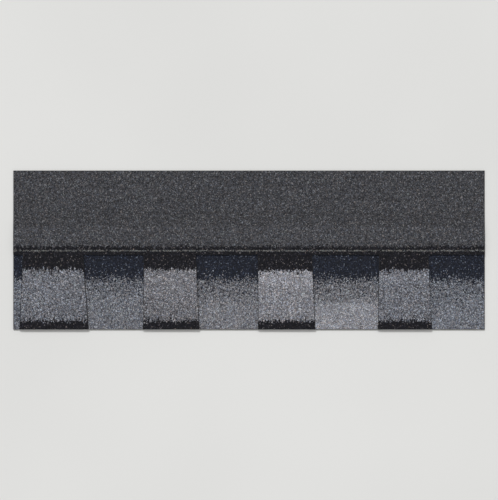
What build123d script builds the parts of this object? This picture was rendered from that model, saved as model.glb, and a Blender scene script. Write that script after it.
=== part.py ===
from build123d import *
import os

# Laminated asphalt shingle: a sheet with dovetail teeth, bonded onto a backer strip.
# It lies flat, granules up. X runs along the shingle and Y up the roof slope from the butt edge.
# Z is up from the surface that it lies on. The origin is the middle of its outline on that surface.

# Overall sizes, in millimetres
shingle_length = 1000.0
exposure = 143.0  # what the next course leaves showing
headlap = 51.0  # what reaches under the second course above
sheet_thickness = 2.7  # coated mat and granules together

# Teeth of the upper sheet, each as four distances from the left end:
# its tip at the butt edge from and to, then its root from and to
teeth = [
    (13.0, 160.0, 21.0, 148.0),
    (275.0, 395.0, 277.0, 387.0),
    (519.0, 641.0, 519.0, 633.0),
    (773.0, 888.0, 776.0, 880.0),
]
cutout_overrun = 16.0  # how far the cutouts run on under the next course
root_radius = 3.0
tip_radius = 1.2

# Backer strip, the lower layer that shows in the cutouts
common_bond = 25.0  # the width where both layers are whole, above the cutouts

# Laminating adhesive, pressed beads between the two layers
adhesive_thickness = 0.6
bead_width = 12.0
bead_setback = 10.0  # from a tooth's side or a sheet's end to the bead
tooth_bead_lines = [30.0, 85.0, 135.0]  # distances from the butt edge

# Self-seal sealant, dashes on the underside along the butt edge
sealant_thickness = 0.9
dash_length = 76.0
dash_gap = 25.0
dash_width = 13.0
dash_setback = 20.0  # from the butt edge to the dashes' middle line
dash_edge_bevel = 0.4

# Release film on the back of the headlap
film_thickness = 0.1
film_width = 45.0
film_setback = 16.0  # from the headlap edge

# The bend where the upper sheet leaves the backer and comes down flat
drape_run = 68.0

# Places worked out from the sizes
shingle_width = 2 * exposure + headlap
left_end = -shingle_length / 2
butt_edge = -shingle_width / 2
headlap_edge = shingle_width / 2
tooth_length = exposure + cutout_overrun
root_line = butt_edge + tooth_length
backer_width = tooth_length + common_bond
backer_bottom = sealant_thickness
backer_top = backer_bottom + sheet_thickness
upper_sheet_bottom = backer_top + adhesive_thickness
upper_sheet_top = upper_sheet_bottom + sheet_thickness
drape_start = butt_edge + backer_width
drape_end = drape_start + drape_run


def side_at(tip_x, root_x, height):
    """Where a tooth's side stands, at a height above the butt edge."""
    return left_end + tip_x + (root_x - tip_x) * height / tooth_length


os.makedirs("parts", exist_ok=True)

# Tooth sheet: its draped section runs the whole length, and its outline cuts the teeth from that
with BuildPart() as tooth_sheet:
    with BuildSketch(Plane.YZ.offset(left_end)) as section:
        with BuildLine() as underside:
            Line((butt_edge, upper_sheet_bottom), (drape_start, upper_sheet_bottom))
            halfway = (
                (drape_start + drape_end) / 2,
                (upper_sheet_bottom + film_thickness) / 2,
            )
            crest = TangentArc(
                (drape_start, upper_sheet_bottom), halfway, tangent=(1, 0)
            )
            TangentArc(halfway, (drape_end, film_thickness), tangent=crest % 1)
            Line((drape_end, film_thickness), (headlap_edge, film_thickness))
            offset(amount=sheet_thickness, side=Side.LEFT)
        make_face()
    extrude(amount=shingle_length)
    with BuildSketch() as outline:
        with Locations((left_end, root_line)):
            Rectangle(
                shingle_length,
                headlap_edge - root_line,
                align=(Align.MIN, Align.MIN),
            )
        for tip_from, tip_to, root_from, root_to in teeth:
            with BuildLine():
                Polyline(
                    (left_end + root_from, root_line),
                    (left_end + tip_from, butt_edge),
                    (left_end + tip_to, butt_edge),
                    (left_end + root_to, root_line),
                    close=True,
                )
            make_face()
        tips = outline.vertices().group_by(Axis.Y)[0]
        roots = outline.vertices().group_by(Axis.Y)[1].sort_by(Axis.X)[1:-1]
        fillet(tips, radius=tip_radius)
        fillet(roots, radius=root_radius)
    extrude(amount=upper_sheet_top, mode=Mode.INTERSECT)
tooth_sheet.part.label = "tooth_sheet"
export_step(tooth_sheet.part, "parts/tooth_sheet.step")

# Backer strip: a plain strip from the butt edge to past the roots of the teeth
with BuildPart() as backer_strip:
    with BuildSketch(Plane.XY.offset(backer_bottom)):
        with Locations((left_end, butt_edge)):
            Rectangle(shingle_length, backer_width, align=(Align.MIN, Align.MIN))
    extrude(amount=sheet_thickness)
backer_strip.part.label = "backer_strip"
export_step(backer_strip.part, "parts/backer_strip.step")

# Laminating adhesive: short beads under each tooth and one long bead in the common bond
with BuildPart() as laminating_adhesive:
    with BuildSketch(Plane.XY.offset(backer_top)):
        for tip_from, tip_to, root_from, root_to in teeth:
            for height in tooth_bead_lines:
                bead_from = side_at(tip_from, root_from, height) + bead_setback
                bead_to = side_at(tip_to, root_to, height) - bead_setback
                with Locations(((bead_from + bead_to) / 2, butt_edge + height)):
                    SlotOverall(bead_to - bead_from, bead_width)
        with Locations((0, root_line + common_bond / 2)):
            SlotOverall(shingle_length - 2 * bead_setback, bead_width)
    extrude(amount=adhesive_thickness)
laminating_adhesive.part.label = "laminating_adhesive"
export_step(laminating_adhesive.part, "parts/laminating_adhesive.step")

# Sealant strip: a row of dashes under the backer, with their lower edges bevelled
dash_pitch = dash_length + dash_gap
dash_count = int((shingle_length + dash_gap) // dash_pitch)
with BuildPart() as sealant_strip:
    with BuildSketch():
        with Locations((0, butt_edge + dash_setback)):
            with GridLocations(dash_pitch, 0, dash_count, 1):
                SlotOverall(dash_length, dash_width)
    extrude(amount=sealant_thickness)
    lower_edges = sealant_strip.edges().group_by(Axis.Z)[0]
    chamfer(lower_edges, length=dash_edge_bevel)
sealant_strip.part.label = "sealant_strip"
export_step(sealant_strip.part, "parts/sealant_strip.step")

# Release film: a thin strip along the back of the headlap, which lies on the floor through it
with BuildPart() as release_film:
    with BuildSketch():
        with Locations((left_end, headlap_edge - film_setback)):
            Rectangle(shingle_length, film_width, align=(Align.MIN, Align.MAX))
    extrude(amount=film_thickness)
release_film.part.label = "release_film"
export_step(release_film.part, "parts/release_film.step")
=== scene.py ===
import math
from typing import Callable, NamedTuple

import bpy
import numpy as np
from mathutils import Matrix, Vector
from mathutils.geometry import delaunay_2d_cdt


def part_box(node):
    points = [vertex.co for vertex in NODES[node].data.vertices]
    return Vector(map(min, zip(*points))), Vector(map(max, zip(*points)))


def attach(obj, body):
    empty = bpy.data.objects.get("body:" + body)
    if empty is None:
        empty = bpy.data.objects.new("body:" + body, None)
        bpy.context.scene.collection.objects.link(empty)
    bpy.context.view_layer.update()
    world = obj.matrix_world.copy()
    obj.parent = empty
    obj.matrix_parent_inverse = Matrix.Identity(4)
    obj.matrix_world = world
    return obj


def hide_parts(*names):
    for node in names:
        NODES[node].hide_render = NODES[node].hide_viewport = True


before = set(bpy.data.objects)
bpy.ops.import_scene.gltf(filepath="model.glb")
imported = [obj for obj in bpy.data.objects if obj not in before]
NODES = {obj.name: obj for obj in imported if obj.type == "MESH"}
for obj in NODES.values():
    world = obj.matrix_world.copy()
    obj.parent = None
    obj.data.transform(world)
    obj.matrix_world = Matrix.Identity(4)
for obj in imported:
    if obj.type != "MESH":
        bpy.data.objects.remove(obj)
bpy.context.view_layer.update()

# Sizes are in metres. Those that a node's box gives are read from it, and the others repeat the part's.
MM = 0.001
SHEET_LOW, SHEET_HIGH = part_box("tooth_sheet")
BACKER_LOW, BACKER_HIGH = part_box("backer_strip")
LEFT, RIGHT = SHEET_LOW.x, SHEET_HIGH.x
BUTT, HEADLAP_EDGE = SHEET_LOW.y, SHEET_HIGH.y
THICKNESS = BACKER_HIGH.z - BACKER_LOW.z
UPPER_BOTTOM = SHEET_HIGH.z - THICKNESS
LYING_BOTTOM = SHEET_LOW.z
DRAPE_START = BACKER_HIGH.y
DRAPE_RUN = 68 * MM
ROOT = BUTT + 159 * MM
ROOT_RADIUS = 3.0 * MM
TIP_RADIUS = 1.2 * MM

# Teeth, as distances from the left end in millimetres: the tip from and to, then the root from and to
TEETH = [
    (13.0, 160.0, 21.0, 148.0),
    (275.0, 395.0, 277.0, 387.0),
    (519.0, 641.0, 519.0, 633.0),
    (773.0, 888.0, 776.0, 880.0),
]

# Granules: one cell each, with a raised middle and low corners
PITCH = 1.74 * MM
ROW_STEP = PITCH * math.sqrt(3) / 2
CORNER_JITTER = 0.15  # of the pitch
MIDDLE_JITTER = 0.14
SIZE_SPREAD = 0.32  # how far a granule's own size pushes its corners out or in, as a share
WANDER = 0.28 * MM  # how far each slow wave moves the honeycomb, so that its rows aren't straight
WANDER_LENGTHS = [(9.5, 31.0), (-27.0, 12.5), (14.5, -19.0), (41.0, 10.5), (-12.0, -36.0), (22.0, 15.5)]
LEAST_INSET = 0.3  # of the pitch, from an outline in to the nearest granule's hub
RIM_CALM = 0.3  # the share of the jitter that corners along an edge keep
EDGE_MARGIN = 0.35 * MM  # the least bare asphalt along a cut edge, and how much more there may be
EDGE_RAGGEDNESS = 0.9 * MM
LEAST_FACET = 0.12 * MM**2  # twice the area in plan below which a facet is too small
PEAK_DEPTH = 0.30 * MM  # the most that a granule's middle lies under the sheet's top
CORNER_DEPTHS = (0.42 * MM, 0.66 * MM)
ASPHALT_DEPTH = 0.52 * MM  # the asphalt that the granules are pressed into, under the sheet's top
CAP_DEPTH = 0.95 * MM  # a granule layer's own underside, inside the sheet
CAP_STEP = 12 * MM  # between the points that the underside has inside its rim
TUCK = 4 * MM  # how far the lower layer's granules run on under the teeth

# A granule layer's map, which is a unit square: the share of its hidden faces, and the gap round each tile
HIDDEN_STRIP = 0.03
TILE_GUTTER = 0.003
HEADLAP_STRIPS = 3
HEADLAP_LENGTHS = 4  # tiles on the map of each headlap strip
BACKER_PIECES = [(0, 3), (1, 2, 4)]  # the open fields that each piece of the lower layer's granules covers

# Colour of each tooth and of each open field of the lower layer, from left to right. The numbers are the
# lightness low down and high up, the height in millimetres where it changes, over how many, the warmth,
# and the height where the dark band at the top starts.
TOOTH_COLOURS = [
    (1.02, 1.05, 60, 60, -0.7, 128.5),
    (1.03, 1.12, 72, 30, 0.9, 129.0),
    (1.18, 1.33, 89, 24, 0.9, 125.5),
    (1.05, 1.14, 98, 14, -0.7, 126.5),
]
FIELD_COLOURS = [
    (1.02, 1.10, 60, 20, -1.5, 106.3),
    (1.06, 1.05, 66, 60, -0.2, 106.8),
    (1.13, 1.03, 64, 50, 1.0, 105.9),
    (1.31, 1.08, 56, 20, 1.2, 104.8),
    (1.08, 1.02, 48, 50, -0.9, 105.8),
]

# Other heights where colours change, in millimetres above the butt edge
TIP_BAND_TOP = 17.0
NAIL_LINE = 167.0
HEADLAP_START = 176.0
NAVY_STRAYS = (45.0, 105.0)  # from none to the most single navy granules below a field's band
PALE_STRAYS = 28.0  # how far single pale granules stray up into a field's band

# Granule blends, as shares and display levels, from the darkest colour to the palest
TOOTH_BLEND = [
    (0.10, (52, 51, 55)),
    (0.27, (84, 84, 89)),
    (0.35, (113, 113, 119)),
    (0.20, (143, 144, 150)),
    (0.08, (175, 176, 182)),
]
FIELD_BLEND = [
    (0.08, (48, 48, 52)),
    (0.26, (84, 84, 90)),
    (0.38, (111, 112, 118)),
    (0.21, (139, 141, 147)),
    (0.07, (168, 170, 176)),
]
BROWN_BLACK_BLEND = [
    (0.560, (14, 14, 19)),
    (0.280, (26, 26, 33)),
    (0.100, (42, 41, 48)),
    (0.045, (73, 69, 73)),
    (0.015, (113, 107, 106)),
]
NAVY_BLEND = [
    (0.46, (22, 25, 34)),
    (0.34, (33, 37, 49)),
    (0.13, (46, 51, 65)),
    (0.05, (69, 75, 90)),
    (0.02, (109, 115, 127)),
]
HEADLAP_BLEND = [
    (0.30, (48, 48, 51)),
    (0.40, (70, 70, 74)),
    (0.22, (92, 92, 96)),
    (0.08, (122, 122, 125)),
]

# Slight tints of single granules: the draw from 0 to 1 from which each is taken, and what it multiplies by
TINTS = [
    (0.00, (0.93, 1.00, 1.10, 1)),
    (0.26, (1.00, 1.00, 1.00, 1)),
    (0.72, (1.09, 1.00, 0.93, 1)),
    (0.88, (0.95, 1.03, 1.00, 1)),
]

# Display levels of the other colours, and of the two ends where a colour varies
ASPHALT = (24, 23, 24)
COATED_ASPHALT = ((18, 17, 18), (30, 29, 30))
MAT_FIBRES = (104, 98, 88)
CUT_GRANULES = ((36, 37, 42), (106, 106, 112))
SAND = ((52, 50, 48), (122, 118, 111))
BITUMEN = ((14, 13, 14), (34, 32, 33))
FILM = ((44, 45, 48), (62, 64, 68))
FILM_CREASE = (118, 121, 126)
PAINT = (168, 168, 164)
FLOOR = ((222, 222, 220), (226, 226, 224))

# Painted line: half its width, how far its edges fray, and how deep under the sheet's top the paint reaches
PAINT_HALF_WIDTH = 1.5 * MM
PAINT_FRAY = 0.9 * MM
PAINT_REACH = 0.42 * MM

# Light: the strength of the world's light and of what shows behind the floor, and the sun's with its angles
LIGHT_STRENGTH = 0.5
BACKDROP_STRENGTH = 0.73
SUN_STRENGTH = 2.1
SUN_SPREAD = 14  # degrees
SUN_TILT = (-42, -14, 0)
FLOOR_HALF = 6.0  # half the floor's width

# Camera: the lens and the sensor's width in millimetres, and how many of the image's pixels the shingle takes
LENS = 135
SENSOR = 36
IMAGE_PX = 498
SHINGLE_PX = 470

rng = np.random.default_rng(20240611)


# Shape of the sheets


def drape(y, lift):
    """Height over the floor, at y, of the surface that lies lift above the upper sheet's underside."""
    drop = UPPER_BOTTOM - LYING_BOTTOM
    bend = (DRAPE_RUN**2 + drop**2) / (4 * drop)
    switch = DRAPE_START + (bend + lift) * DRAPE_RUN / 2 / bend
    past_crest = np.maximum(y - DRAPE_START, 0)
    to_trough = np.clip(DRAPE_START + DRAPE_RUN - y, 0, DRAPE_RUN)
    crest = UPPER_BOTTOM - bend + np.sqrt((bend + lift) ** 2 - past_crest**2)
    trough = LYING_BOTTOM + bend - np.sqrt((bend - lift) ** 2 - to_trough**2)
    return np.where(y < switch, crest, trough)


def upper_top(y):
    return drape(y, THICKNESS)


def backer_top(y):
    return np.full_like(y, BACKER_HIGH.z)


def unit(vector):
    return vector / math.hypot(*vector)


def rounded(corners, steps=6):
    """A closed outline, counter-clockwise, from corners given as x, y and radius."""
    points = []
    for i, (x, y, radius) in enumerate(corners):
        here = np.array([x, y])
        if not radius:
            points.append(here)
            continue
        back = unit(np.array(corners[i - 1][:2]) - here)
        on = unit(np.array(corners[(i + 1) % len(corners)][:2]) - here)
        half = math.acos(back @ on) / 2
        centre = here + unit(back + on) * radius / math.sin(half)
        first = here + back * radius / math.tan(half) - centre
        last = here + on * radius / math.tan(half) - centre
        start = math.atan2(first[1], first[0])
        sweep = (math.atan2(last[1], last[0]) - start + math.pi) % (2 * math.pi) - math.pi
        angles = start + sweep * np.arange(steps + 1) / steps
        points += list(centre + radius * np.column_stack([np.cos(angles), np.sin(angles)]))
    return np.array(points)


def upper_outline():
    corners = [(LEFT, HEADLAP_EDGE, 0), (LEFT, ROOT, 0)]
    for tooth in TEETH:
        tip_from, tip_to, root_from, root_to = (LEFT + v * MM for v in tooth)
        corners += [
            (root_from, ROOT, ROOT_RADIUS),
            (tip_from, BUTT, TIP_RADIUS),
            (tip_to, BUTT, TIP_RADIUS),
            (root_to, ROOT, ROOT_RADIUS),
        ]
    return rounded(corners + [(RIGHT, ROOT, 0), (RIGHT, HEADLAP_EDGE, 0)])


def upright(left, right, top):
    """An outline from the butt edge up to top. Its two sides are each given as x at the top and below."""
    return np.array([(left[0], top), (left[1], BUTT), (right[1], BUTT), (right[0], top)])


def field_outlines():
    """The lower layer's open fields, from left to right, each run on a little under the teeth."""
    marks = [[LEFT + v * MM for v in tooth] for tooth in TEETH]
    lefts = [(LEFT, LEFT)] + [(root_to - TUCK, tip_to - TUCK) for _, tip_to, _, root_to in marks]
    rights = [(root_from + TUCK, tip_from + TUCK) for tip_from, _, root_from, _ in marks] + [(RIGHT, RIGHT)]
    return [upright(left, right, ROOT + TUCK) for left, right in zip(lefts, rights)]


def pad_outlines():
    """Where the lower layer is flat under the upper one: below each tooth, and along the common bond."""
    top = ROOT + TUCK
    outlines = [np.array([(LEFT, DRAPE_START), (LEFT, top), (RIGHT, top), (RIGHT, DRAPE_START)])]
    for tooth in TEETH:
        tip_from, tip_to, root_from, root_to = (LEFT + v * MM for v in tooth)
        left, right = (root_from + TUCK, tip_from + TUCK), (root_to - TUCK, tip_to - TUCK)
        outlines.append(upright(left, right, top))
    return outlines


# Meshes


def new_mesh(name, points, faces):
    """A flat-shaded mesh from its points and a list of arrays, each of faces with as many corners."""
    me = bpy.data.meshes.new(name)
    me.vertices.add(len(points))
    me.vertices.foreach_set("co", np.ascontiguousarray(points, np.float32).ravel())
    corners = np.concatenate([f.ravel() for f in faces]).astype(np.int32)
    counts = np.concatenate([np.full(len(f), f.shape[1]) for f in faces])
    me.loops.add(len(corners))
    me.loops.foreach_set("vertex_index", corners)
    me.polygons.add(len(counts))
    me.polygons.foreach_set("loop_start", np.concatenate([[0], np.cumsum(counts)[:-1]]).astype(np.int32))
    me.update(calc_edges=True)
    me.shade_flat()
    return me


def shown(name, data):
    """A new object in the scene."""
    ob = bpy.data.objects.new(name, data)
    bpy.context.scene.collection.objects.link(ob)
    return ob


def add_piece(name, me, material, replaced=None):
    ob = shown(name, me)
    me.materials.append(material)
    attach(ob, "root")
    if replaced:
        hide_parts(replaced)


def set_attribute(me, name, kind, domain, values):
    attribute = me.attributes.new(name, kind, domain)
    key = "value" if kind == "FLOAT" else "vector"
    attribute.data.foreach_set(key, np.ascontiguousarray(values, np.float32).ravel())


# Granule cells


def inside(points, outline):
    """True for each point that the outline holds."""
    held = np.zeros(len(points), bool)
    for (x0, y0), (x1, y1) in zip(outline, np.roll(outline, -1, 0)):
        if y0 == y1:
            continue
        spans = (points[:, 1] < y0) != (points[:, 1] < y1)
        held ^= spans & (points[:, 0] < x0 + (points[:, 1] - y0) * (x1 - x0) / (y1 - y0))
    return held


def nearest_side(points, outline):
    """For each point its distance to the outline, the nearest spot on it and the way in from there."""
    best = np.full(len(points), np.inf)
    spot, inward = np.zeros_like(points), np.zeros_like(points)
    for a, b in zip(outline, np.roll(outline, -1, 0)):
        along = b - a
        share = np.clip(((points - a) @ along) / (along @ along), 0, 1)
        foot = a + share[:, None] * along
        gap = np.hypot(*(points - foot).T)
        closer = gap < best
        best[closer], spot[closer] = gap[closer], foot[closer]
        inward[closer] = np.array([-along[1], along[0]]) / math.hypot(*along)
    return best, spot, inward


def held_inside(points, outline, margins):
    """The points, with those outside the outline or within their margin of it moved in to that margin."""
    moved = points.copy()
    for _ in range(2):
        gap, spot, inward = nearest_side(moved, outline)
        out = ~inside(moved, outline) | (gap < margins)
        moved[out] = spot[out] + inward[out] * margins[out, None]
    return moved


class Field(NamedTuple):
    """Granules over one surface: places of cell corners and middles, and each cell's six corners in turn.
    top_of gives the surface's height at each y."""

    corners: np.ndarray
    middles: np.ndarray
    cells: np.ndarray
    top_of: Callable


def wandered(places):
    """The places moved by slow waves, by turns along X and Y. The waves' lengths are in millimetres."""
    moved = places.copy()
    for k, (along_x, along_y) in enumerate(WANDER_LENGTHS):
        wave = np.sin((places[:, 0] / along_x + places[:, 1] / along_y) * 2 * math.pi / MM)
        moved[:, k % 2] += WANDER * wave
    return moved


def sized(corners, middles, cells):
    """How far granules of uneven sizes push their corners, each away from its own middle."""
    size = rng.uniform(-SIZE_SPREAD, SIZE_SPREAD, len(cells))
    push = (corners[cells] - middles[:, None]) * size[:, None, None]
    total = [np.bincount(cells.ravel(), push[:, :, axis].ravel(), len(corners)) for axis in (0, 1)]
    return np.column_stack(total)


def facets(ring, middles):
    """Twice the area in plan of each cell's facets, from a side to the middle: under 0 if turned over."""
    side = np.roll(ring, -1, 1) - ring
    inward = middles[:, None] - ring
    return side[..., 0] * inward[..., 1] - side[..., 1] * inward[..., 0]


def eased(corners, calm, shift, cells):
    """Corners and middles, moved back by halves towards their calm places wherever a facet is too small."""
    for _ in range(8):
        ring = corners[cells]
        tight = facets(ring, ring.mean(1) + shift) < LEAST_FACET
        pulled = np.union1d(cells[tight], np.roll(cells, -1, 1)[tight])
        corners[pulled] = (corners[pulled] + calm[pulled]) / 2
        shift[tight.any(1)] /= 2
    return corners, corners[cells].mean(1) + shift


def granule_field(outline, top_of):
    """An uneven honeycomb over the outline, held inside it, with a height for each point."""
    # Hubs and the corners round them are counted in half pitches along X and in thirds of a row along Y
    low, high = outline.min(0) - 2 * PITCH, outline.max(0) + 2 * PITCH
    rows, columns = int((high[1] - low[1]) / ROW_STEP) + 2, int((high[0] - low[0]) / PITCH) + 2
    row, column = np.mgrid[0:rows, 0:columns]
    around = np.array([(1, -1), (1, 1), (0, 2), (-1, 1), (-1, -1), (0, -2)])
    hubs = np.stack([(2 * column + row % 2).ravel(), 3 * row.ravel()], -1)
    step = np.array([PITCH / 2, ROW_STEP / 3])

    # The cells that the outline holds, with each shared corner kept once
    shift = rng.uniform(-1, 1, hubs.shape) * MIDDLE_JITTER * PITCH
    centre = wandered(low + hubs * step)
    kept = inside(centre, outline) & (nearest_side(centre, outline)[0] > LEAST_INSET * PITCH)
    keys, cells = np.unique((hubs[kept][:, None] + around).reshape(-1, 2), axis=0, return_inverse=True)
    cells = cells.reshape(-1, 6)

    # Corners and middles are moved about as far as there is room, and a cell with a facet turned over goes
    jitter = rng.uniform(-1, 1, keys.shape) * CORNER_JITTER * PITCH
    at_rim = np.bincount(cells.ravel(), minlength=len(keys)) < 3
    jitter[at_rim] *= RIM_CALM
    margins = EDGE_MARGIN + rng.uniform(0, 1, len(keys)) ** 2 * EDGE_RAGGEDNESS
    calm = wandered(low + keys * step)
    rough = calm + jitter + sized(calm, centre[kept], cells)
    rough, calm = (held_inside(places, outline, margins) for places in (rough, calm))
    corners, middles = eased(rough, calm, shift[kept], cells)
    roomy = (facets(corners[cells], middles) > 0).all(1)
    cells, middles = cells[roomy], middles[roomy]

    corner_z = top_of(corners[:, 1]) - rng.uniform(*CORNER_DEPTHS, len(corners))
    middle_z = top_of(middles[:, 1]) - rng.uniform(0, 1, len(middles)) ** 1.5 * PEAK_DEPTH
    return Field(np.column_stack([corners, corner_z]), np.column_stack([middles, middle_z]), cells, top_of)


def joined(fields):
    """Several fields over one surface, as one."""
    starts = np.cumsum([0] + [len(field.corners) for field in fields])
    corners = np.concatenate([field.corners for field in fields])
    middles = np.concatenate([field.middles for field in fields])
    cells = np.concatenate([field.cells + start for field, start in zip(fields, starts)])
    return Field(corners, middles, cells, fields[0].top_of)


def rim_edges(ring):
    """The directed edges of six-sided cells that no neighbour shares."""
    edges = np.stack([ring, np.roll(ring, -1, 1)], -1).reshape(-1, 2).astype(np.int64)
    codes, turned = edges[:, 0] << 32 | edges[:, 1], edges[:, 1] << 32 | edges[:, 0]
    return edges[~np.isin(codes, turned)]


def cap_below(plan, edges):
    """Clockwise triangles that close the rim in plan, and their places. Then come each place's number in the
    rim, or -1 where it lies inside, and the rim itself."""
    rim, ends = np.unique(edges, return_inverse=True)
    points = [Vector(plan[i]) for i in rim]
    low, high = plan[rim].min(0), plan[rim].max(0)
    for x in np.arange(low[0] + CAP_STEP, high[0], 3 * CAP_STEP):
        points += [Vector((x, y)) for y in np.arange(low[1] + CAP_STEP / 2, high[1], CAP_STEP)]
    inside_only, tolerance = 1, 1e-8
    found = delaunay_2d_cdt(points, ends.reshape(-1, 2).tolist(), [], inside_only, tolerance)
    places, _, faces, origins = found[:4]
    used, faces = np.unique(np.array(faces), return_inverse=True)
    sources = [min(origins[i], default=len(rim)) for i in used]
    sources = np.array([s if s < len(rim) else -1 for s in sources])
    return faces.reshape(-1, 3)[:, ::-1], np.array([tuple(places[i]) for i in used]), sources, rim


def closed_below(points, ring, top_of):
    """The points of six-sided cells with those of an underside, and the faces of its skirt and its cap."""
    edges = rim_edges(ring)
    cap, places, sources, rim = cap_below(points[:, :2], edges)
    lower = {corner: len(points) + k for k, corner in enumerate(rim)}
    below = np.array([lower[corner] for corner in edges.ravel()]).reshape(-1, 2)
    skirt = np.column_stack([below, edges[:, ::-1]])
    extra = np.flatnonzero(sources < 0)
    numbers = len(points) + sources
    numbers[extra] = len(points) + len(rim) + np.arange(len(extra))
    lower_plan = np.concatenate([points[rim, :2], places[extra]])
    lower_z = top_of(lower_plan[:, 1]) - CAP_DEPTH
    return np.concatenate([points, np.column_stack([lower_plan, lower_z])]), skirt, numbers[cap]


def tile_map(points, low, high, tile):
    """Places in plan, from a box low to high, as places in a tile of the map given as u, v, width, height."""
    room = np.array(tile[2:]) - 2 * TILE_GUTTER
    return np.array(tile[:2]) + TILE_GUTTER + (points - low) / (high - low) * room


def layer_map(plan, fan, hidden, parts, tiles):
    """A place on the map for each face corner: each part of the cells in its tile, and the hidden faces in a
    strip above the tiles. Each cell has six triangles of three corners."""
    top = plan[fan.ravel()]
    part_of = np.repeat(parts, 6 * 3)
    uv = np.zeros((len(top) + len(hidden), 2))
    for k, tile in enumerate(tiles):
        here = np.flatnonzero(part_of == k)
        uv[here] = tile_map(top[here], top[here].min(0), top[here].max(0), tile)
    strip = (0, 1 - HIDDEN_STRIP, 1, HIDDEN_STRIP)
    uv[len(top) :] = tile_map(plan[hidden], plan.min(0), plan.max(0), strip)
    return uv


def granule_piece(name, field, kept, colours, parts, tiles, material):
    """One piece of a granule field, closed below. Each of its parts has its own tile of the piece's map.
    The colours give each cell's lightness and warmth, and the height where the dark band starts."""
    used, ring = np.unique(field.cells[kept], return_inverse=True)
    ring = ring.reshape(-1, 6)
    middles = field.middles[kept]
    hub = np.broadcast_to(len(used) + np.arange(len(ring))[:, None], ring.shape)
    fan = np.stack([ring, np.roll(ring, -1, 1), hub], -1).reshape(-1, 3)
    points, skirt, cap = closed_below(np.concatenate([field.corners[used], middles]), ring, field.top_of)
    me = new_mesh(name, points, [fan, skirt, cap])

    # The hidden faces belong to no granule, which -1 says
    facts = np.full((len(me.polygons), 5), -1.0)
    facts[: len(fan)] = np.repeat(np.column_stack([middles[:, :2], colours]), 6, 0)
    set_attribute(me, "granule", "FLOAT_VECTOR", "FACE", facts[:, :3])
    set_attribute(me, "zone", "FLOAT2", "FACE", facts[:, 3:])

    uv = layer_map(points[:, :2], fan, np.concatenate([skirt.ravel(), cap.ravel()]), parts, tiles)
    layer = me.uv_layers.new(name="OFBake")
    layer.uv.foreach_set("vector", uv.astype(np.float32).ravel())
    add_piece(name, me, material)


def zone_colours(zone, y):
    """A zone's lightness, warmth and band height at each y."""
    low, high, middle, width, warmth, band = zone
    share = np.clip(((y - BUTT) / MM - middle) / width + 0.5, 0, 1)
    lightness = low + (high - low) * share * share * (3 - 2 * share)
    return np.column_stack([lightness, np.full(len(y), warmth), np.full(len(y), band)])


# Materials


def linear(*levels):
    """Display levels from 0 to 255, as a linear colour."""
    values = [v / 255 for v in levels]
    return tuple(v / 12.92 if v <= 0.04045 else ((v + 0.055) / 1.055) ** 2.4 for v in values) + (1.0,)


class Nodes:
    """A short way to write down a material's nodes. Inputs are given by name or number."""

    def __init__(self, name):
        self.material = bpy.data.materials.new(name)
        self.material.use_nodes = True
        self.tree = self.material.node_tree
        self.shader = self.tree.nodes["Principled BSDF"]

    def add(self, kind, inputs=(), **settings):
        node = self.tree.nodes.new("ShaderNode" + kind)
        for key, value in settings.items():
            setattr(node, key, value)
        for key, value in dict(inputs).items():
            self.feed(node.inputs[key], value)
        return node

    def feed(self, socket, value):
        if isinstance(value, bpy.types.NodeSocket):
            self.tree.links.new(value, socket)
        else:
            socket.default_value = value

    def spots(self):
        """The places of the surface's points on the object."""
        return self.add("TexCoord").outputs["Object"]

    def attribute(self, name, output):
        return self.add("Attribute", attribute_name=name).outputs[output]

    def parted(self, vector):
        return self.add("SeparateXYZ", {0: vector}).outputs

    def math(self, operation, *values):
        return self.add("Math", enumerate(values), operation=operation).outputs[0]

    def between(self, value, low, high, to_low=0.0, to_high=1.0):
        inputs = {"Value": value, "From Min": low, "From Max": high, "To Min": to_low, "To Max": to_high}
        return self.add("MapRange", inputs, interpolation_type="SMOOTHSTEP").outputs[0]

    def noise(self, vector, scale, detail=2.0, rough=0.5):
        inputs = {"Vector": vector, "Scale": scale, "Detail": detail, "Roughness": rough}
        return self.add("TexNoise", inputs).outputs[0]

    def patches(self, vector, scale):
        """A colour of its own for each small patch of the surface."""
        return self.add("TexVoronoi", {"Vector": vector, "Scale": scale}).outputs["Color"]

    def chance(self, vector, salt):
        """An even draw from 0 to 1 for each value of the vector."""
        return self.add("TexWhiteNoise", {"Vector": vector, "W": salt}, noise_dimensions="4D").outputs[0]

    def ramp(self, factor, stops, interpolation="LINEAR"):
        node = self.add("ValToRGB", {"Fac": factor})
        node.color_ramp.interpolation = interpolation
        elements = node.color_ramp.elements
        elements[0].position, elements[0].color = stops[0]
        elements[1].position, elements[1].color = stops[-1]
        for position, colour in stops[1:-1]:
            elements.new(position).color = colour
        return node.outputs[0]

    def mix(self, factor, first, second, blend="MIX"):
        """Two colours mixed. The node's sockets for colours are its inputs 6 and 7 and its output 2."""
        node = self.add("Mix", data_type="RGBA", blend_type=blend)
        self.feed(node.inputs[0], factor)
        self.feed(node.inputs[6], first)
        self.feed(node.inputs[7], second)
        return node.outputs[2]

    def times(self, first, second):
        return self.mix(1.0, first, second, "MULTIPLY")

    def colour(self, red, green, blue):
        return self.add("CombineColor", {0: red, 1: green, 2: blue}).outputs[0]

    def grey(self, level):
        return self.colour(level, level, level)

    def scaled(self, vector, factors):
        return self.add("VectorMath", {0: vector, 1: factors}, operation="MULTIPLY").outputs[0]

    def bump(self, height, distance, strength=1.0):
        node = self.add("Bump", {"Height": height, "Distance": distance, "Strength": strength})
        self.feed(self.shader.inputs["Normal"], node.outputs[0])

    def finish(self, colour, roughness, gloss=0.5):
        """The material, with its colour, its roughness and the strength of its reflections."""
        self.feed(self.shader.inputs["Base Color"], colour)
        self.feed(self.shader.inputs["Roughness"], roughness)
        self.feed(self.shader.inputs["Specular IOR Level"], gloss)
        return self.material


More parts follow.
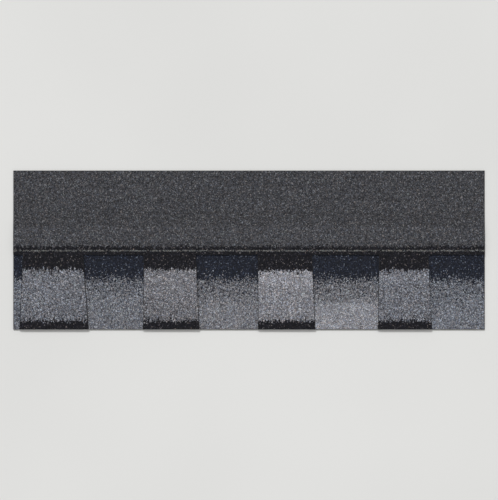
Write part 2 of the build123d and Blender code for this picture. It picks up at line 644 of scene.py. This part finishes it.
def blend_stops(blend):
    stops, start = [], 0.0
    for share, levels in blend:
        stops.append((start, linear(*levels)))
        start += share
    return stops


def blend_mean(blend):
    colours = np.array([linear(*levels) for _, levels in blend])
    return tuple(np.array([share for share, _ in blend]) @ colours)


def zone_blend(n, blend, place, pick, tone, warmth):
    """A granule's colour from its blend, in its zone's lightness and warmth. In pale zones the colours lie
    closer together."""
    colour = n.ramp(pick, blend_stops(blend), "CONSTANT")
    colour = n.mix(n.between(tone, 0.95, 1.30, 0.0, 0.3), colour, blend_mean(blend))
    mottle = n.between(n.noise(place, 22, 2.0), 0.3, 0.7, 0.95, 1.05)
    colour = n.times(colour, n.grey(n.math("MULTIPLY", n.math("POWER", tone, 2.2), mottle)))
    red, blue = (n.math("MULTIPLY_ADD", warmth, change, 1.0) for change in (0.02, -0.02))
    return n.times(colour, n.colour(red, 1.0, blue))


def granule_material(name, blend, dark_blend, dark_where, covered=None):
    """Ceramic granules in asphalt. dark_where says where the dark blend lies, from the nodes, a granule's
    place, its height above the butt edge and its band's. covered changes the colour under other courses."""
    n = Nodes(name)
    x, y, tone = n.parted(n.attribute("granule", "Vector"))
    warmth, band, _ = n.parted(n.attribute("zone", "Vector"))
    place = n.add("CombineXYZ", {0: x, 1: y}).outputs[0]
    height = n.math("DIVIDE", n.math("SUBTRACT", y, BUTT), MM)

    # Each granule draws one colour of its blend, and darker and paler ones gather in small clumps
    clump = n.between(n.noise(place, 170, 3.0, 0.6), 0.3, 0.7, -0.10, 0.10)
    pick = n.math("ADD", n.chance(place, 1.0), clump)
    light = zone_blend(n, blend, place, pick, tone, warmth)
    dark = n.ramp(pick, blend_stops(dark_blend), "CONSTANT")
    colour = n.mix(dark_where(n, place, height, band), light, dark)
    if covered:
        colour = covered(n, place, height, pick, colour)
    colour = n.times(colour, n.ramp(n.chance(place, 2.0), TINTS, "CONSTANT"))

    # The coating is thinner on some faces of a granule, and bare asphalt shows round the layer's edge
    spots = n.spots()
    wear = n.between(n.noise(spots, 1400, 3.0, 0.65), 0.35, 0.70, 1.06, 0.84)
    colour = n.times(colour, n.grey(wear))
    colour = n.mix(n.math("LESS_THAN", tone, 0.0), colour, linear(*ASPHALT))

    dull = n.between(n.chance(place, 3.0), 0.0, 1.0, 0.62, 0.95)
    n.bump(n.noise(spots, 2600, 3.0, 0.6), 0.08 * MM, 0.6)
    return n.finish(colour, dull, gloss=0.15)


def ragged(n, place, streak, dither, salt):
    """How far a blend's border strays here, in millimetres: in streaks along Y, and by single granules."""
    streaks = n.noise(n.scaled(place, (1.0, 0.12, 0.0)), 330, 2.0, 0.6)
    run = n.between(streaks, 0.28, 0.72, -streak, streak)
    return n.math("ADD", run, n.math("MULTIPLY", n.math("SUBTRACT", n.chance(place, salt), 0.5), dither))


def tooth_bands(n, place, height, band):
    """The brown-black bands across a tooth's tip and round its root, with streaks that run out of them."""
    strayed = n.math("ADD", height, ragged(n, place, streak=4.0, dither=5.0, salt=5.0))
    streaks = n.noise(n.scaled(place, (1.0, 0.10, 0.0)), 460, 2.0, 0.6)
    reach = n.between(streaks, 0.46, 0.74, 0.0, 14.0)
    tip = n.math("LESS_THAN", n.math("SUBTRACT", strayed, reach), TIP_BAND_TOP)
    root = n.math("GREATER_THAN", n.math("ADD", strayed, reach), band)
    return n.math("MAXIMUM", tip, root)


def field_band(n, place, height, band):
    """The navy band at the top of the lower layer's fields. Single navy granules stray for a way below it,
    and single pale ones into it."""
    strayed = n.math("ADD", height, ragged(n, place, streak=2.5, dither=19.0, salt=7.0))
    within = n.math("GREATER_THAN", strayed, band)
    pale = n.between(n.math("SUBTRACT", height, band), 0.0, PALE_STRAYS, 0.10, 0.0)
    filled = n.math("MULTIPLY", within, n.math("GREATER_THAN", n.chance(place, 11.0), pale))
    stray = n.math("LESS_THAN", n.chance(place, 9.0), n.between(height, *NAVY_STRAYS, 0.0, 0.25))
    return n.math("MAXIMUM", filled, stray)


def headlap(n, place, height, pick, colour):
    """The plainer granules of the part that other courses cover, with the painted line."""
    plain = n.ramp(pick, blend_stops(HEADLAP_BLEND), "CONSTANT")
    strayed = n.math("ADD", height, ragged(n, place, streak=2.5, dither=6.0, salt=6.0))
    colour = n.mix(n.math("GREATER_THAN", strayed, HEADLAP_START), colour, plain)
    return n.mix(n.math("MULTIPLY", nail_paint(n), 0.6), colour, linear(*PAINT))


def nail_paint(n):
    """Where the paint of the line for the nails lies: on the raised parts of the granules only, in a broken
    line with frayed edges."""
    spots = n.spots()
    _, y, z = n.parted(spots)
    off_line = n.math("ABSOLUTE", n.math("SUBTRACT", y, BUTT + NAIL_LINE * MM))
    fray = n.between(n.noise(spots, 700, 3.0, 0.6), 0.3, 0.7, -PAINT_FRAY, PAINT_FRAY)
    near = n.math("LESS_THAN", n.math("ADD", off_line, fray), PAINT_HALF_WIDTH)
    raised = n.math("GREATER_THAN", z, SHEET_HIGH.z - PAINT_REACH)
    taken = n.between(n.noise(spots, 260, 2.0, 0.6), 0.40, 0.52)
    return n.math("MULTIPLY", n.math("MULTIPLY", near, raised), taken)


def mat_in_edge(n, spots, through, colour):
    """The pale fibres of the mat, in the middle of a sheet's thickness."""
    fibres = n.noise(n.scaled(spots, (1.0, 1.0, 6.0)), 1500, 2.0)
    off_middle = n.math("ABSOLUTE", n.math("SUBTRACT", through, 0.5))
    mat = n.between(n.math("ADD", off_middle, n.math("MULTIPLY", fibres, 0.12)), 0.145, 0.095)
    return n.mix(n.math("MULTIPLY", mat, 0.8), colour, linear(*MAT_FIBRES))


def granules_in_edge(n, spots, through, colour):
    """Cut granules along the top of a sheet's edges."""
    stones = n.patches(spots, 950)
    stone = n.mix(n.chance(stones, 2.0), *(linear(*levels) for levels in CUT_GRANULES))
    reach = n.between(n.chance(stones, 3.0), 0.0, 1.0, 0.70, 0.86)
    below_top = n.math("LESS_THAN", through, 0.985)
    top_edge = n.math("MULTIPLY", n.math("GREATER_THAN", through, reach), below_top)
    cut_here = n.math("MULTIPLY", top_edge, n.math("GREATER_THAN", n.chance(stones, 1.0), 0.45))
    return n.mix(cut_here, colour, stone)


def sand_on_back(n, spots, through):
    """Where the fine sand on a sheet's back lies, and its colour."""
    back = n.math("LESS_THAN", through, 0.02)
    grains = n.patches(spots, 2400)
    thick = n.between(n.noise(n.scaled(spots, (0.5, 1.0, 1.0)), 60, 3.0, 0.6), 0.3, 0.7, 0.30, 0.62)
    sand = n.mix(n.chance(grains, 2.0), *(linear(*levels) for levels in SAND))
    return n.math("MULTIPLY", n.math("LESS_THAN", n.chance(grains, 1.0), thick), back), sand


def asphalt_material(name):
    """A coated sheet's cut edges and back: black asphalt, with the mat, cut granules and sand. The attribute
    runs through the sheet, from 0 at its back to 1 at its top."""
    n = Nodes(name)
    spots = n.spots()
    through = n.attribute("through", "Fac")
    smear = n.noise(spots, 90, 4.0, 0.6)
    colour = n.mix(n.between(smear, 0.3, 0.7), *(linear(*levels) for levels in COATED_ASPHALT))
    colour = mat_in_edge(n, spots, through, colour)
    colour = granules_in_edge(n, spots, through, colour)
    sanded, sand = sand_on_back(n, spots, through)
    colour = n.mix(sanded, colour, sand)

    rough = n.math("ADD", n.noise(spots, 800, 4.0, 0.6), n.math("MULTIPLY", sanded, 0.5))
    n.bump(rough, 0.25 * MM, 0.7)
    return n.finish(colour, n.between(smear, 0.25, 0.75, 0.55, 0.85), gloss=0.25)


def bitumen_material(name, roughness):
    """Bare bitumen, as in the adhesive beads and the sealant: black and a little uneven."""
    n = Nodes(name)
    flow = n.noise(n.scaled(n.spots(), (0.4, 1.0, 1.0)), 120, 4.0, 0.6)
    colour = n.mix(n.between(flow, 0.3, 0.7), *(linear(*levels) for levels in BITUMEN))
    n.bump(flow, 0.8 * MM, 0.7)
    return n.finish(colour, n.between(flow, 0.3, 0.7, roughness, roughness + 0.25), gloss=0.4)


def film_material(name):
    """Thin clear film over black asphalt: glossy, with fine creases and a few cloudy places."""
    n = Nodes(name)
    spots = n.spots()
    folds = n.noise(n.scaled(spots, (0.35, 1.0, 1.0)), 75, 3.0, 0.6)
    crease = n.between(n.math("ABSOLUTE", n.math("SUBTRACT", folds, 0.5)), 0.0, 0.022, 1.0, 0.0)
    cloud = n.between(n.noise(spots, 28, 3.0, 0.6), 0.35, 0.65)
    colour = n.mix(cloud, *(linear(*levels) for levels in FILM))
    colour = n.mix(n.math("MULTIPLY", crease, 0.35), colour, linear(*FILM_CREASE))
    n.bump(n.math("ADD", folds, n.math("MULTIPLY", crease, 0.3)), 0.9 * MM, 0.5)
    return n.finish(colour, n.between(cloud, 0.0, 1.0, 0.14, 0.30))


def floor_material(name):
    n = Nodes(name)
    cloud = n.between(n.noise(n.spots(), 1.5, 2.0), 0.3, 0.7)
    return n.finish(n.mix(cloud, *(linear(*levels) for levels in FLOOR)), 0.9)


# Pieces


def tooth_sheet_body():
    """The upper sheet under its granules: the part's own sheet with its top let down."""
    me = NODES["tooth_sheet"].data.copy()
    me.name = "tooth_sheet_body"
    me.materials.clear()
    co = np.empty(len(me.vertices) * 3, np.float32)
    me.vertices.foreach_get("co", co)
    co = co.reshape(-1, 3)
    y = co[:, 1].astype(float)
    through = np.clip((co[:, 2] - drape(y, 0)) / (upper_top(y) - drape(y, 0)), 0, 1)
    co[through > 0.5, 2] -= ASPHALT_DEPTH
    me.vertices.foreach_set("co", co.ravel())
    me.update()
    set_attribute(me, "through", "FLOAT", "POINT", through)
    return me


def prism(outline, low, high):
    """A closed slab over a four-cornered outline: its points and its faces."""
    points = np.concatenate([np.column_stack([outline, np.full(4, z)]) for z in (low, high)])
    ring = np.arange(4)
    sides = np.column_stack([ring, np.roll(ring, -1), np.roll(ring, -1) + 4, ring + 4])
    return points, np.concatenate([sides, [ring[::-1], ring + 4]])


def backer_body():
    """The lower sheet under its granules: a slab, with flat pads where the upper sheet is bonded on."""
    low, high = BACKER_LOW.z, BACKER_HIGH.z
    strip = np.array([(LEFT, DRAPE_START), (LEFT, BUTT), (RIGHT, BUTT), (RIGHT, DRAPE_START)])
    slabs = [prism(strip, low, high - ASPHALT_DEPTH)]
    slabs += [prism(outline, high - 2 * ASPHALT_DEPTH, high) for outline in pad_outlines()]
    points = np.concatenate([p for p, _ in slabs])
    me = new_mesh("backer_body", points, [f + 8 * k for k, (_, f) in enumerate(slabs)])
    through = np.clip((points[:, 2] - low) / (high - ASPHALT_DEPTH - low), 0, 1)
    set_attribute(me, "through", "FLOAT", "POINT", through)
    return me


def upper_granules(material):
    """The upper sheet's granules, in one honeycomb: a piece for the teeth, and one for each headlap strip."""
    field = granule_field(upper_outline(), upper_top)
    x, y = field.middles[:, 0], field.middles[:, 1]
    tooth_of = np.searchsorted([LEFT + tooth[1] * MM for tooth in TEETH[:-1]], x)
    colours = np.empty((len(x), 3))
    for k, zone in enumerate(TOOTH_COLOURS):
        colours[tooth_of == k] = zone_colours(zone, y[tooth_of == k])

    def piece(name, kept, part_of, tiles):
        granule_piece(name, field, kept, colours[kept], part_of[kept], tiles, material)

    # The map of the teeth has a quarter for each tooth, and a strip's has its lengths one above the other
    room = (1 - HIDDEN_STRIP) / 2
    tiles = [(u, v, 0.5, room) for v in (0, room) for u in (0, 0.5)]
    piece("tooth_granules", np.flatnonzero(y < ROOT), tooth_of, tiles)

    share_up, share_along = (y - ROOT) / (HEADLAP_EDGE - ROOT), (x - LEFT) / (RIGHT - LEFT)
    strip_of = np.clip(share_up * HEADLAP_STRIPS, 0, HEADLAP_STRIPS - 1).astype(int)
    length_of = np.clip(share_along * HEADLAP_LENGTHS, 0, HEADLAP_LENGTHS - 1).astype(int)
    room = (1 - HIDDEN_STRIP) / HEADLAP_LENGTHS
    tiles = [(0, k * room, 1, room) for k in range(HEADLAP_LENGTHS)]
    for strip in range(HEADLAP_STRIPS):
        kept = np.flatnonzero((y >= ROOT) & (strip_of == strip))
        piece(f"headlap_granules_{strip + 1}", kept, length_of, tiles)


def side_by_side(outlines):
    """Tiles from left to right on a map, as wide as the outlines are."""
    widths = np.array([np.ptp(outline[:, 0]) for outline in outlines])
    widths /= widths.sum()
    lefts = np.cumsum(widths) - widths
    return [(left, 0, width, 1 - HIDDEN_STRIP) for left, width in zip(lefts, widths)]


def backer_granules(material):
    """The lower layer's granules in its open fields, as two pieces."""
    outlines = field_outlines()
    for number, members in enumerate(BACKER_PIECES, 1):
        fields = [granule_field(outlines[k], backer_top) for k in members]
        colours = [zone_colours(FIELD_COLOURS[k], field.middles[:, 1]) for k, field in zip(members, fields)]
        parts = np.repeat(np.arange(len(fields)), [len(field.cells) for field in fields])
        tiles = side_by_side([outlines[k] for k in members])
        name = f"backer_granules_{number}"
        kept = np.arange(len(parts))
        colours = np.concatenate(colours)
        granule_piece(name, joined(fields), kept, colours, parts, tiles, material)


# Stage


def studio_world():
    """Even white light. Seen straight on, in a reflection or through glass it is as pale as the floor."""
    world = bpy.data.worlds.new("studio")
    world.use_nodes = True
    tree = world.node_tree
    rays = tree.nodes.new("ShaderNodeLightPath").outputs
    seen = rays["Is Camera Ray"]
    for kind in ("Is Glossy Ray", "Is Transmission Ray"):
        either = tree.nodes.new("ShaderNodeMath")
        either.operation = "MAXIMUM"
        tree.links.new(seen, either.inputs[0])
        tree.links.new(rays[kind], either.inputs[1])
        seen = either.outputs[0]
    strength = tree.nodes.new("ShaderNodeMapRange")
    strength.inputs["To Min"].default_value = LIGHT_STRENGTH
    strength.inputs["To Max"].default_value = BACKDROP_STRENGTH
    tree.links.new(seen, strength.inputs["Value"])
    background = tree.nodes["Background"]
    background.inputs["Color"].default_value = (1, 1, 1, 1)
    tree.links.new(strength.outputs[0], background.inputs["Strength"])
    return world


def pale_floor():
    ways = [(-1, -1, 0), (1, -1, 0), (1, 1, 0), (-1, 1, 0)]
    me = new_mesh("floor", FLOOR_HALF * np.array(ways), [np.array([[0, 1, 2, 3]])])
    me.materials.append(floor_material("floor"))
    shown("floor", me)


def soft_sun():
    light = bpy.data.lights.new("key", "SUN")
    light.energy = SUN_STRENGTH
    light.angle = math.radians(SUN_SPREAD)
    shown("key", light).rotation_euler = [math.radians(angle) for angle in SUN_TILT]


def camera_above():
    """The photo's view: square on from above, and from far off."""
    camera = bpy.data.cameras.new("camera")
    camera.lens = LENS
    camera.sensor_width = SENSOR
    distance = (RIGHT - LEFT) * IMAGE_PX / SHINGLE_PX * LENS / SENSOR
    holder = shown("camera", camera)
    holder.location = ((LEFT + RIGHT) / 2, (BUTT + HEADLAP_EDGE) / 2, distance + SHEET_HIGH.z)
    bpy.context.scene.camera = holder


def build():
    asphalt = asphalt_material("coated_mat")
    add_piece("tooth_sheet_body", tooth_sheet_body(), asphalt, "tooth_sheet")
    add_piece("backer_body", backer_body(), asphalt, "backer_strip")
    upper_granules(granule_material("overlay_granules", TOOTH_BLEND, BROWN_BLACK_BLEND, tooth_bands, headlap))
    backer_granules(granule_material("backer_granules", FIELD_BLEND, NAVY_BLEND, field_band))
    finishes = {
        "laminating_adhesive": bitumen_material("laminating_asphalt", 0.25),
        "sealant_strip": bitumen_material("sealant", 0.35),
        "release_film": film_material("film"),
    }
    for name, material in finishes.items():
        NODES[name].data.materials.clear()
        NODES[name].data.materials.append(material)


def stage():
    pale_floor()
    bpy.context.scene.world = studio_world()
    soft_sun()
    camera_above()
    bpy.context.scene.view_settings.view_transform = "Standard"


build()
stage()
